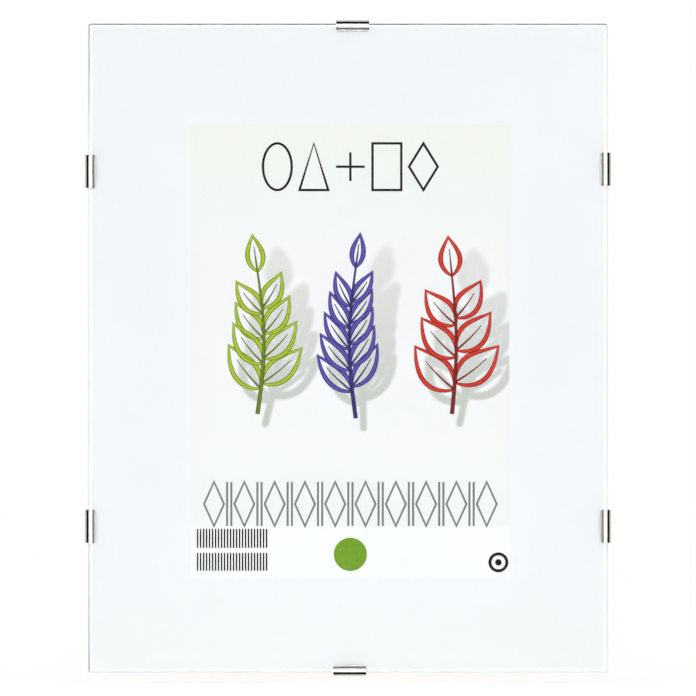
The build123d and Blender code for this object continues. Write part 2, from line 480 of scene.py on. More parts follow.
@dataclass(frozen=True)
class Hardboard(Finish):
    """Wet-felted hardboard, pressed on wire cloth: brown fibre bundles and darker flecks.

    The back keeps the print of the cloth, the front is rolled with white lacquer, the sawn edges are darker,
    and the rim of each punched hole is paler, where the fibres were torn.
    """

    title: str
    middle: float
    front: float
    cut_outs: tuple[CutOut, ...]
    wood_tones: Tones = ((0.5, "#7C5B3C"), (0.6, "#9A7550"), (0.74, "#B59069"))
    fleck: str = "#5F4429"
    edge: str = "#80603F"
    torn: str = "#C9A983"
    lacquer: str = "#FCFCFB"
    fibre_size: Point = (3.2, 0.3)
    fibre_turns: tuple[float, ...] = (12.0, 58.0, 97.0, 139.0)
    fleck_size: Point = (2.6, 0.9)
    fleck_turns: tuple[float, ...] = (33.0, 118.0)
    fleck_window: Point = (0.66, 0.76)
    fleck_strength: float = 0.6
    strand_detail: float = 3.0
    blotch_size: float = 46.0
    blotch_detail: float = 6.0
    blotch_window: Point = (0.3, 0.7)
    blotch_shades: Point = (0.9, 1.08)
    cloth_spacing: float = 2.0
    cloth_depth: float = 0.09
    cloth_share: float = 0.5
    rim_width: Point = (0.4, 1.1)
    rim_window: Point = (0.5, 0.75)
    rim_strength: float = 0.75
    edge_strength: float = 0.6
    back_roughness: float = 0.72
    front_roughness: float = 0.4
    face_depth: float = 0.03

    def strands(self, add: Adder, here: Socket, size: Point, turns: Sequence[float]) -> Node:
        """Adds straight strands that lie criss-cross: stretched noise in each direction, the highest on top.

        Args:
            add: What adds a node to the material.
            here: The point, in metres.
            size: A strand's length and width, in millimetres.
            turns: The directions, in degrees.

        Returns:
            The pattern, from zero to one.
        """
        length, width = (1 / (side * MM) for side in size)
        layers = []
        for turn in turns:
            turned = add("Mapping", here, named={"Rotation": (0.0, math.radians(turn), 0.0)})
            drawn = add("VectorMath", turned, (length, width, width), operation="MULTIPLY")
            layers.append(add("TexNoise", drawn, 1.0, self.strand_detail))
        return reduce(partial(add, "Math", operation="MAXIMUM"), layers)

    def rim_distance(self, add: Adder, here: Node, folded: Node) -> Node:
        """Adds the distance from the nearest punched hole.

        A hole is a box with rounded corners. A point's overhang beyond the box of the corners' centres, each
        way and never less than nothing, has a length, and that less the corners' radius is the distance.

        Args:
            add: What adds a node to the material.
            here: The point, with its depth left out.
            folded: The same, by its distances from the middle of the board.

        Returns:
            The smallest distance over all the holes, in metres.
        """
        distances = []
        for hole in self.cut_outs:
            (x, z), (half_x, half_z) = hole.centre, hole.half_size
            inner = ((half_x - hole.radius) * MM, 1.0, (half_z - hole.radius) * MM)
            point = folded if hole.mirrored else here
            point = add("VectorMath", point, (x * MM, 0.0, z * MM), operation="SUBTRACT")
            point = add("VectorMath", point, operation="ABSOLUTE")
            point = add("VectorMath", point, inner, operation="SUBTRACT")
            point = add("VectorMath", point, (0.0, 0.0, 0.0), operation="MAXIMUM")
            length = add("VectorMath", point, operation="LENGTH")
            distances.append(add("Math", length, hole.radius * MM, operation="SUBTRACT"))
        return reduce(partial(add, "Math", operation="MINIMUM"), distances)

    def dress(self, add: Adder, place: Node) -> Node:
        """Adds the fibres, the flecks, the torn rims, the cloth's print and the white front.

        Args:
            add: What adds a node to the material.
            place: The Texture Coordinate node.

        Returns:
            The shader node.
        """
        here = place.outputs["Object"]
        across, deep, up = add("SeparateXYZ", here).outputs
        flat = add("VectorMath", here, (1.0, 0.0, 1.0), operation="MULTIPLY")
        centred = add("VectorMath", flat, (0.0, 0.0, self.middle * MM), operation="SUBTRACT")
        folded = add("VectorMath", centred, operation="ABSOLUTE")
        fibres = self.strands(add, here, self.fibre_size, self.fibre_turns)
        flecks = self.strands(add, here, self.fleck_size, self.fleck_turns)
        blotches = add("TexNoise", here, 1 / (self.blotch_size * MM), self.blotch_detail)
        wood = add("ValToRGB", fibres, stops=self.wood_tones)
        dark_flecks = add("MapRange", flecks, *self.fleck_window, 0.0, self.fleck_strength)
        flecked = add("Mix", dark_flecks, wood, self.fleck, data_type="RGBA")
        blotched = add("MapRange", blotches, *self.blotch_window, *self.blotch_shades)
        board = add("VectorMath", flecked, blotched, operation="SCALE")
        widths = (width * MM for width in self.rim_width)
        ragged = add("MapRange", fibres, *self.rim_window, *widths)
        rim = add("MapRange", self.rim_distance(add, flat, folded), ragged, 0.0, 0.0, self.rim_strength)
        on_back = add("Math", deep, -self.face_depth * MM, operation="GREATER_THAN")
        on_front = add("Math", deep, (self.front + self.face_depth) * MM, operation="LESS_THAN")
        rim_on_back = add("Math", rim, on_back, operation="MULTIPLY")
        torn = add("Mix", rim_on_back, board, self.torn, data_type="RGBA")
        sawn = add("Mix", self.edge_strength, board, self.edge, data_type="RGBA")
        bare = add("Mix", on_back, sawn, torn, data_type="RGBA")
        colour = add("Mix", on_front, bare, self.lacquer, data_type="RGBA")
        radians_per_metre = math.tau / (self.cloth_spacing * MM)
        phases = [add("Math", way, radians_per_metre, operation="MULTIPLY") for way in (across, up)]
        waves = [add("Math", phase, operation="SINE") for phase in phases]
        cloth = add("Math", *waves, operation="MULTIPLY")
        rough = add("Math", cloth, self.cloth_share, fibres, operation="MULTIPLY_ADD")
        on_cloth = add("Math", rough, on_back, operation="MULTIPLY")
        depth = self.cloth_depth * MM
        relief = add("Bump", named={"Height": on_cloth, "Distance": depth, "Strength": 1.0})
        roughness = add("Mix", on_front, self.back_roughness, self.front_roughness)
        return add("BsdfPrincipled", named={"Base Color": colour, "Roughness": roughness, "Normal": relief})


@dataclass
class Shell:
    """A closed surface in the making, in millimetres.

    It holds the points, the faces by their points' numbers, and a printed tone for each point.
    """

    points: Array
    faces: list[tuple[int, ...]]
    tones: Array

    @staticmethod
    def joined(shells: Sequence["Shell"]) -> "Shell":
        """Puts several shells into one.

        Args:
            shells: The shells.

        Returns:
            One shell that has them all, each with its own points.
        """
        starts = np.cumsum([0] + [len(shell.points) for shell in shells]).tolist()
        numbered = [(start, face) for start, shell in zip(starts, shells) for face in shell.faces]
        faces = [tuple(start + corner for corner in face) for start, face in numbered]
        points = np.concatenate([shell.points for shell in shells])
        return Shell(points, faces, np.concatenate([shell.tones for shell in shells]))


def lofted(rings: Array, closed: bool = False, tones: Optional[Array] = None) -> Shell:
    """Skins a row of rings with quads: each quad joins two points of a ring to the same two of the next.

    Args:
        rings: The rings' points, as an array of rings by points by three.
        closed: Whether the last ring is joined to the first. An open row gets a face at each end.
        tones: The printed tone of each point, or nothing for none.

    Returns:
        The closed shell.
    """
    count, around = rings.shape[:2]
    last = count if closed else count - 1
    ring, corner = np.meshgrid(np.arange(last), np.arange(around), indexing="ij")
    next_ring, next_corner = (ring + 1) % count, (corner + 1) % around
    pairs = ((ring, corner), (ring, next_corner), (next_ring, next_corner), (next_ring, corner))
    quads = np.stack([row * around + column for row, column in pairs], axis=-1).reshape(-1, 4)
    faces = [tuple(quad) for quad in quads.tolist()]
    if not closed:
        faces.append(tuple(range(around - 1, -1, -1)))
        faces.append(tuple(range((count - 1) * around, count * around)))
    shades = np.zeros(count * around) if tones is None else np.broadcast_to(tones, rings.shape[:2]).ravel()
    return Shell(rings.reshape(-1, 3), faces, shades)


@dataclass(frozen=True)
class Belonging:
    """Where a new piece belongs: its record's material slot, its body, and the nodes that it stands for."""

    slot: str
    body: str
    replaces: tuple[str, ...] = ()


def put_in(name: str, shell: Shell, materials: Sequence[Material], belonging: Belonging) -> Piece:
    """Makes a shell into a piece of the scene, with its faces turned outwards.

    Args:
        name: The piece's name.
        shell: Its surface, in millimetres.
        materials: Its materials, the first on every face.
        belonging: Its body and what it replaces; its slot is not used.

    Returns:
        The new object.
    """
    mesh = bpy.data.meshes.new(name)
    mesh.from_pydata((shell.points * MM).tolist(), [], shell.faces)
    outward = bmesh.new()
    outward.from_mesh(mesh)
    bmesh.ops.recalc_face_normals(outward, faces=outward.faces)
    outward.to_mesh(mesh)
    outward.free()
    if shell.tones.any():
        tone = mesh.attributes.new(TONE, "FLOAT", "POINT")
        tone.data.foreach_set("value", shell.tones.astype(np.float32))
    for material in materials:
        mesh.materials.append(material)
    piece = in_scene(name, mesh)
    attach(piece, belonging.body)
    if belonging.replaces:
        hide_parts(*belonging.replaces)
    return piece


@dataclass(frozen=True)
class Box:
    """The lowest and highest corners of a node, in millimetres."""

    low: Place
    high: Place

    @staticmethod
    def of(node: str) -> "Box":
        """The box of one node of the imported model."""
        return Box(*(tuple(value / MM for value in corner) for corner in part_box(node)))

    @property
    def middle(self) -> Place:
        """The box's centre."""
        return tuple((a + b) / 2 for a, b in zip(self.low, self.high))

    @property
    def half(self) -> Place:
        """Half the box's size each way."""
        return tuple((b - a) / 2 for a, b in zip(self.low, self.high))


class SubAssembly(ABC):
    """A part of the frame that is made and dressed by itself."""

    @abstractmethod
    def build(self) -> list[Piece]:
        """Makes its pieces, or dresses its nodes, and gives them back."""


def dress_node(node: Piece, finish: Finish) -> Piece:
    """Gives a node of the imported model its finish.

    Args:
        node: The node's object.
        finish: The finish.

    Returns:
        The same object.
    """
    slots = node.data.materials
    slots.clear()
    slots.append(finish.material())
    return node


def pointing(angle: Array) -> Array:
    """Unit vectors at some angles, each by its angle's cosine and sine."""
    return np.stack((np.cos(angle), np.sin(angle)), axis=-1)


def summed(steps: Array) -> Array:
    """The running sum of some steps, from nothing on."""
    return np.concatenate((np.zeros_like(steps[:1]), np.cumsum(steps, axis=0)))


def oval(centre: Point, half_size: Point, points: int) -> Array:
    """An oval's outline, by the cosine and the sine of its turn."""
    return centre + half_size * pointing(np.arange(points) * math.tau / points)


@dataclass(frozen=True)
class Run:
    """One stretch of a strip's middle line: its length, and the angle that it turns over that length."""

    length: float
    turn: float = 0.0


def filleted(points: Sequence[Point], radii: Sequence[float]) -> list[Run]:
    """Goes along straight legs whose corners are rounded.

    A corner that turns by an angle takes its radius times the tangent of half the angle from both legs, and
    puts its radius times the angle in their place.

    Args:
        points: The ends of the legs.
        radii: The radius of each corner between them.

    Returns:
        The straight and turning runs in order.
    """
    legs = np.diff(np.array(points), axis=0)
    headings = np.arctan2(legs[:, 1], legs[:, 0])
    turns = (np.diff(headings) + math.pi) % math.tau - math.pi
    cut = np.array(radii) * np.tan(np.abs(turns) / 2)
    straight = np.hypot(legs[:, 0], legs[:, 1])
    straight[:-1] -= cut
    straight[1:] -= cut
    runs = [Run(float(straight[0]))]
    for radius, turn, length in zip(radii, turns.tolist(), straight[1:].tolist()):
        runs += [Run(radius * abs(turn), turn), Run(length)]
    return runs


@dataclass
class SpringClip:
    """One clip, bent from a strip: lip, crown, roll, web, bow, leg, dip, tab and grip.

    The side view is drawn from the lip, where the clip rests on the glass, round the pane's edge to the tail.
    Inward is measured from the pane's edge over the glass, and depth along Y.
    """

    glass_front: float
    board_thickness: float
    strip_thickness: float = 0.5
    clip_width: float = 15.3
    bend_radius: float = 0.3
    lip_length: float = 0.5
    lip_angle: float = 4.5
    lip_clearance: float = 0.05
    lip_corner_cut: float = 0.8
    crown_gap: float = 0.85
    crown_angle: float = 45.0
    crown_length: float = 1.5
    crown_tilt: float = 4.0
    roll_radius: float = 1.55
    web_gap: float = 1.15
    corner_radius: float = 0.75
    bow_clearance: float = 0.25
    bow_end_radius: float = 1.25
    leg_clearance: float = 0.05
    dip_from_edge: float = 16.1
    dip_depth_share: float = 0.6
    dip_angle: float = 38.0
    tab_rise: float = 3.0
    tab_angle: float = 34.0
    grip_length: float = 2.2
    grip_angle: float = 12.0
    tail_width: float = 10.0
    tail_corner: float = 2.0
    edge_radius: float = 0.09
    edge_points: int = 4
    bend_step: float = 4.0
    lip_steps: int = 3
    grip_steps: int = 12
    nose_points: int = 6
    nose_turn: float = 78.0
    sheared_from: float = 0.9

    def __post_init__(self) -> None:
        """Works out the corners of the side view, in the same way as the solid."""
        self.half = self.strip_thickness / 2
        bend = self.bend_radius + self.half
        roll = self.roll_radius + self.half
        lip_slope = math.radians(self.lip_angle)
        web = -self.web_gap - self.half
        crown_depth = self.glass_front - self.crown_gap - self.half
        self.lip_depth = self.glass_front - self.lip_clearance - self.half
        knee_depth = self.lip_depth - self.lip_length * math.sin(lip_slope)
        crown_end = web + roll + self.crown_length
        knee = crown_end + (knee_depth - crown_depth) / math.tan(math.radians(self.crown_angle))
        self.lip_inward = knee + self.lip_length * math.cos(lip_slope)
        roll_depth = crown_depth + (crown_end - web) * math.tan(math.radians(self.crown_tilt))
        leg_depth = self.leg_clearance + self.half
        corner_bend = self.corner_radius + self.half
        end_bend = self.bow_end_radius + self.half
        bow = math.hypot(self.lip_inward, self.lip_depth) + self.bow_clearance + self.half
        corner_inward = web + corner_bend
        corner_reach = math.sqrt((bow - corner_bend) ** 2 - (self.lip_inward - corner_inward) ** 2)
        end_rise = leg_depth + end_bend - self.lip_depth
        self.leg_inward = self.lip_inward + math.sqrt((bow + end_bend) ** 2 - end_rise**2)
        first = math.atan2(corner_reach, corner_inward - self.lip_inward)
        last = math.atan2(end_rise, self.leg_inward - self.lip_inward)
        dip_depth = self.half - self.dip_depth_share * self.board_thickness
        dip_inward = self.dip_from_edge + (leg_depth - dip_depth) / math.tan(math.radians(self.dip_angle))
        tab_inward = dip_inward + self.tab_rise / math.tan(math.radians(self.tab_angle))
        tab_depth = dip_depth + self.tab_rise
        grip = math.radians(self.grip_angle)
        self.tail_inward = tab_inward + self.grip_length * math.cos(grip)
        tail_depth = tab_depth + self.grip_length * math.sin(grip)
        quarter = math.pi / 2
        lip, crown = (self.lip_inward, self.lip_depth), (crown_end, crown_depth)
        web_end = (web, self.lip_depth + corner_reach)
        front = filleted((lip, (knee, knee_depth), crown, (web, roll_depth), web_end), (bend, bend, roll))
        back = [
            Run(corner_bend * (math.pi - first), first - math.pi),
            Run(bow * (first - last), last - first),
            Run(end_bend * (quarter - last), quarter - last),
        ]
        leg = ((self.leg_inward, leg_depth), (self.dip_from_edge, leg_depth))
        tab = ((dip_inward, dip_depth), (tab_inward, tab_depth), (self.tail_inward, tail_depth))
        self.runs = front + back + filleted(leg + tab, (bend,) * 3)

    def middle_line(self) -> tuple[Array, Array, Array]:
        """Follows the runs in small steps, each the chord of its own arc.

        A step of length L that turns by an angle goes L times the sine of half the angle, over half the
        angle, along the heading halfway through the turn.

        Returns:
            The stations' places as inward and depth, their headings, and their lengths along the strip.
        """
        counts = [max(1, math.ceil(abs(math.degrees(run.turn)) / self.bend_step)) for run in self.runs]
        counts[0] = self.lip_steps
        counts[-1] = self.grip_steps
        length = np.repeat([run.length / count for run, count in zip(self.runs, counts)], counts)
        turn = np.repeat([run.turn / count for run, count in zip(self.runs, counts)], counts)
        heading = math.pi + math.radians(self.lip_angle) + summed(turn)
        chord = length * np.sinc(turn / math.tau)
        steps = pointing(heading[:-1] + turn / 2) * chord[:, None]
        return np.array((self.lip_inward, self.lip_depth)) + summed(steps), heading, summed(length)

    def half_width(self, inward: Array, run: Array) -> Array:
        """Half the strip's width at each station.

        It is full, less the lip's cut corners in front. Behind the bow it narrows in a straight line, and
        ends in a quarter round that touches both that line and the tail's end.

        Args:
            inward: How far in each station lies.
            run: Its length along the strip.

        Returns:
            The half widths.
        """
        full = self.clip_width / 2
        cut_start = self.lip_inward + self.half - self.lip_corner_cut
        in_front = run < self.lip_length + self.crown_length
        lip = full - np.where(in_front, np.maximum(inward - cut_start, 0), 0)
        end = self.tail_inward + self.half
        slope = (full - self.tail_width / 2) / (end - self.leg_inward)
        side = full - slope * np.maximum(inward - self.leg_inward, 0)
        lean = math.hypot(1, slope)
        centre_inward = end - self.tail_corner
        centre_across = full - slope * (centre_inward - self.leg_inward) - self.tail_corner * lean
        touch = centre_inward + self.tail_corner * slope / lean
        past = np.clip(inward - centre_inward, 0, self.tail_corner)
        rounded = centre_across + np.sqrt(self.tail_corner**2 - past**2)
        return np.minimum(lip, np.where(inward > touch, rounded, side))

    def surface(self) -> tuple[Array, Array, Array]:
        """Carries a rounded rectangle along the middle line, and rounds both ends over.

        Each corner of the section is a quarter circle about a point that lies the edge radius inside both
        faces. At the ends the section goes on past the middle line, thinner by the cosine of an angle as it
        goes by the sine.

        Returns:
            Points and normals as across, depth and outward, and lengths along and across the strip, all as
            arrays of rings by points.
        """
        places, heading, run = self.middle_line()
        nose = np.radians(np.linspace(0, self.nose_turn, self.nose_points + 1)[1:])
        tilt = np.concatenate((-nose[::-1], np.zeros(len(run)), nose))
        reach = self.half * np.sin(tilt)
        pad = (self.nose_points, self.nose_points)
        heading = np.pad(heading, pad, mode="edge")
        run = np.pad(run, pad, mode="edge") + reach
        along, face = pointing(heading), pointing(heading + math.pi / 2)
        places = np.pad(places, (pad, (0, 0)), mode="edge") + along * reach[:, None]
        half_width = self.half_width(places[:, 0], run)[:, None]
        half_thick = (self.half * np.cos(tilt))[:, None]
        radius = np.minimum(self.edge_radius, half_thick)
        quarter = np.linspace(0, math.pi / 2, self.edge_points)
        angle = np.concatenate([quarter + corner * math.pi / 2 for corner in range(4)])
        side = np.repeat([1, -1, -1, 1], self.edge_points)
        top = np.repeat([1, 1, -1, -1], self.edge_points)
        across = side * (half_width - radius) + radius * np.cos(angle)
        off = top * (half_thick - radius) + radius * np.sin(angle)
        flat = places[:, None] + off[..., None] * face[:, None]
        points = np.stack((across, flat[..., 1], -flat[..., 0]), axis=-1)
        level, tilted = np.cos(tilt)[:, None], np.sin(tilt)[:, None, None]
        flat_normal = (np.sin(angle) * level)[..., None] * face[:, None] + tilted * along[:, None]
        normals = np.stack((np.cos(angle) * level, flat_normal[..., 1], -flat_normal[..., 0]), axis=-1)
        normals /= np.linalg.norm(normals, axis=-1, keepdims=True)
        lengths = np.stack((np.broadcast_to(run[:, None], across.shape), across), axis=-1)
        return points, normals, lengths

    def make(self, joint: Mapping[str, Any], plate: Material) -> Piece:
        """Makes the clip that swings on one joint, on that joint's axis.

        Args:
            joint: Its name, a place on the lip's axis, the axis, and the body that swings.
            plate: The plate's material.

        Returns:
            The clip's object.
        """
        points, normals, lengths = self.surface()
        axis, back = np.array(joint["axis"], float), np.array((0.0, 1.0, 0.0))
        turned = np.stack((axis, back, np.cross(axis, back)))
        lip = np.array((0.0, self.lip_depth, -self.lip_inward))
        placed = (points - lip) @ turned + np.array(joint["pos_m"], float) / MM
        node = joint["name"].replace("_swing", "")
        belonging = Belonging("nickel_plated_spring_steel", joint["child"], (node,))
        piece = put_in(node.replace("clip_", "spring_clip_"), lofted(placed), (plate,), belonging)
        mesh = piece.data
        mesh.polygons.foreach_set("use_smooth", np.ones(len(mesh.polygons), bool))
        corners = np.zeros(len(mesh.loops), np.int32)
        mesh.loops.foreach_get("vertex_index", corners)
        strip = mesh.uv_layers.new(name="strip")
        strip.data.foreach_set("uv", (lengths.reshape(-1, 2)[corners] * MM).ravel())
        sheared = mesh.attributes.new("sheared", "FLOAT", "POINT")
        on_side = np.abs(normals[..., 0]).ravel() > self.sheared_from
        sheared.data.foreach_set("value", on_side.astype(np.float32))
        mesh.normals_split_custom_set_from_vertices((normals.reshape(-1, 3) @ turned).tolist())
        return piece


@dataclass
class ClipSet(SubAssembly):
    """The six spring clips round the frame, each on the axis of its joint."""

    strip: SpringClip
    joints: Sequence[Mapping[str, Any]]
    plate: NickelPlate = NickelPlate()

    def build(self) -> list[Piece]:
        """Makes all the clips of one plate."""
        material = self.plate.material()
        return [self.strip.make(joint, material) for joint in self.joints]


@dataclass
class GlassPane(SubAssembly):
    """The glass pane: two clear faces, and edges that are ground flat with an arris on each side."""

    box: Box
    arris: float = 0.34
    corner_cut: float = 0.6
    arris_round: float = 0.05
    clear: ClearGlass = ClearGlass()
    ground: GroundGlass = GroundGlass()

    def outline(self, inset: float, depth: float) -> Array:
        """The pane's outline, drawn in from its edge.

        A side moves straight in, so a corner's slanted side is shorter by the inset times two less the
        square root of two at each end.

        Args:
            inset: How far in the outline lies.
            depth: Its place along Y.

        Returns:
            Its eight points in order, the last four as the first four after half a turn.
        """
        cut = self.corner_cut - inset * (2 - math.sqrt(2))
        wide, high = self.box.half[0] - inset, self.box.half[2] - inset
        level, upright = wide - cut, high - cut
        first = np.array(((-level, -high), (level, -high), (wide, -upright), (wide, upright)))
        flat = np.concatenate((first, -first)) + (self.box.middle[0], self.box.middle[2])
        return np.insert(flat, 1, depth, axis=1)

    def build(self) -> list[Piece]:
        """Makes the pane from one outline for each line of its edge's profile.

        Returns:
            The pane's object, alone in a list.
        """
        front, back = self.box.low[1], self.box.high[1]
        soft = self.arris_round
        slant = soft / math.sqrt(2)
        inner = ((self.arris + soft, 0.0), (self.arris - slant, slant))
        half_edge = inner + tuple((depth, inset) for inset, depth in reversed(inner))
        rings = [self.outline(inset, front + depth) for inset, depth in half_edge]
        rings += [self.outline(inset, back - depth) for inset, depth in reversed(half_edge)]
        materials = (self.clear.material(), self.ground.material())
        belonging = Belonging("float_glass", "frame", ("glass_pane",))
        piece = put_in("clear_pane", lofted(np.stack(rings)), materials, belonging)
        for face in piece.data.polygons:
            face.material_index = int(face.loop_total != len(rings[0]))
        return [piece]


def mitred(path: Array, half_width: Union[float, Array], closed: bool) -> tuple[Array, Array]:
    """The two borders of a stroke along a path.

    Each point moves across by the sum of the normals of its two legs, over one plus their product, which
    keeps the width true at a corner. The divisor is kept well over nought, so that no corner runs to a spike.

    Args:
        path: The stroke's middle, as points on a plane.
        half_width: Half the width, once or for each point.
        closed: Whether the path comes back to its start.

    Returns:
        The left border and the right one.
    """
    after = np.roll(path, -1, axis=0) - path
    before = path - np.roll(path, 1, axis=0)
    if not closed:
        after[-1] = before[-1]
        before[0] = after[0]
    legs = np.stack((before, after))
    units = legs / np.linalg.norm(legs, axis=-1, keepdims=True)
    normals = np.stack((-units[..., 1], units[..., 0]), axis=-1)
    sharpness = 1 + np.sum(normals[0] * normals[1], axis=1, keepdims=True)
    shift = normals.sum(axis=0) / np.maximum(sharpness, LEAST_DIVISOR) * np.reshape(half_width, (-1, 1))
    return path + shift, path - shift


@dataclass(frozen=True)
class Stroke:
    """A line of ink: its middle, its width at each point, and whether it comes back to its start."""

    path: Array
    width: Union[float, Array]
    closed: bool = False


def bars(ends: Sequence[tuple[Point, Point]], width: float) -> list[Stroke]:
    """Straight strokes of one width, each between a pair of ends."""
    return [Stroke(np.array(pair), width) for pair in ends]


class Motif(Enum):
    """The plain figures of the slip's head line, and the corners of those that have some, in a square."""

    OVAL = "oval"
    TRIANGLE = ((-1, -1), (1, -1), (0, 1))
    PLUS = "plus"
    OBLONG = ((-1, -1), (1, -1), (1, 1), (-1, 1))
    LOZENGE = ((0, -1), (1, 0), (0, 1), (-1, 0))


class Ink(Enum):
    """The inks of the slip, each darker at a stroke's rims and lighter along its middle."""

    BLACK = PrintInk("black_ink", "#020202", "#030303", "#050505")
    GREY = PrintInk("grey_ink", "#747873", "#777B76", "#7B7F7A")
    GREEN = PrintInk("green_ink", "#4F610A", "#90A716", "#B2C832")
    MOSS = PrintInk("moss_ink", "#2C3A05", "#4C630B", "#76901A")
    VIOLET = PrintInk("violet_ink", "#231A66", "#43378F", "#6358B2")
    PLUM = PrintInk("plum_ink", "#130E3A", "#251D5C", "#3C3280")
    RED = PrintInk("red_ink", "#700B0A", "#B81512", "#DC3E2C")
    WINE = PrintInk("wine_ink", "#3A0505", "#650A0A", "#941A14")
    DISC_GREEN = PrintInk("disc_green_ink", "#74A024", "#7FA82E", "#8BB23C")


@dataclass(frozen=True)
class Sprig:
    """A leafy twig drawn in outline: a bowed stem, leaves in pairs and one more at its tip."""

    name: str
    foot: Point
    leaf_ink: Ink
    stem_ink: Ink
    leaf_pairs: int
    leaf_length: float
    leaf_width: float
    leaf_angle: float
    bow: float
    height: float
    outline_width: float = 1.7
    stem_width: float = 1.7
    rib_width: float = 0.8
    leaf_curl: float = 0.35
    lowest_leaf_share: float = 0.18
    highest_leaf_share: float = 0.88
    stagger_share: float = 0.22
    tip_closing: float = 0.3
    tip_shrinking: float = 0.42
    tip_leaf_size: float = 0.62
    rib_share: float = 0.75
    rib_taper: Point = (1.3, 0.5)
    stem_taper: Point = (1.2, 0.55)
    outline_swell: Point = (0.6, 0.75)
    belly_power: float = 0.8
    stem_step: float = 0.01
    leaf_points: int = 21
    stem_points: int = 40

    def stem(self, share: Union[float, Array]) -> Array:
        """The stem's places: straight up, bowed sideways by the sine of half a turn.

        Args:
            share: How far up the stem each place is, from nought at the foot to one at the tip.

        Returns:
            The places, on the slip's plane.
        """
        share = np.atleast_1d(share)
        across = self.foot[0] + self.bow * np.sin(math.pi * share)
        return np.stack((across, self.foot[1] + self.height * share), axis=1)

    def leaf(self, share: float, turn: float, size: float) -> tuple[Stroke, Stroke]:
        """One leaf's outline and its rib.

        The rib leaves the stem at an angle and turns steadily back by the curl. The outline lies off it by
        half the leaf's width times the sine of half a turn, drawn towards the base, so that the leaf is
        widest below its middle. Both strokes are strongest there too.

        Args:
            share: How far up the stem the leaf stands.
            turn: The angle between leaf and stem, positive to the right.
            size: Its size beside the sprig's full leaf.

        Returns:
            The outline and the rib.
        """
        base, above = self.stem(np.array((share, share + self.stem_step)))
        upright = math.atan2(above[1] - base[1], above[0] - base[0])
        along = np.linspace(0, 1, self.leaf_points)
        heading = upright - turn + np.sign(turn) * self.leaf_curl * along
        legs = pointing(heading) * self.leaf_length * size
        rib = base + summed(legs[:-1]) / (self.leaf_points - 1)
        swell = np.sin(math.pi * along**self.belly_power)
        off = pointing(heading + math.pi / 2) * (self.leaf_width * size / 2 * swell)[:, None]
        outline = np.concatenate(((rib + off)[:-1], (rib - off)[:0:-1]))
        strength = np.concatenate((swell[:-1], swell[:0:-1]))
        rib_end = int(self.leaf_points * self.rib_share)
        rib_width = self.rib_width * np.linspace(*self.rib_taper, rib_end)
        least, more = self.outline_swell
        edge = Stroke(outline, self.outline_width * (least + more * strength), True)
        return edge, Stroke(rib[:rib_end], rib_width)

    def leaves(self) -> list[tuple[Stroke, Stroke]]:
        """Every leaf, smaller and closer to the stem towards the tip.

        Returns:
            Each leaf's outline and rib.
        """
        drawn = []
        reach = self.highest_leaf_share - self.lowest_leaf_share
        for pair in range(self.leaf_pairs):
            for side, late in ((1, self.stagger_share), (-1, 0.0)):
                share = self.lowest_leaf_share + reach * (pair + late) / self.leaf_pairs
                turn = side * math.radians(self.leaf_angle) * (1 - self.tip_closing * share)
                drawn.append(self.leaf(share, turn, 1 - self.tip_shrinking * share))
        return drawn + [self.leaf(1.0, 0.0, self.tip_leaf_size)]

    def stem_stroke(self) -> Stroke:
        """The stem, thinner towards its tip."""
        places = self.stem(np.linspace(0, 1, self.stem_points))
        return Stroke(places, self.stem_width * np.linspace(*self.stem_taper, self.stem_points))


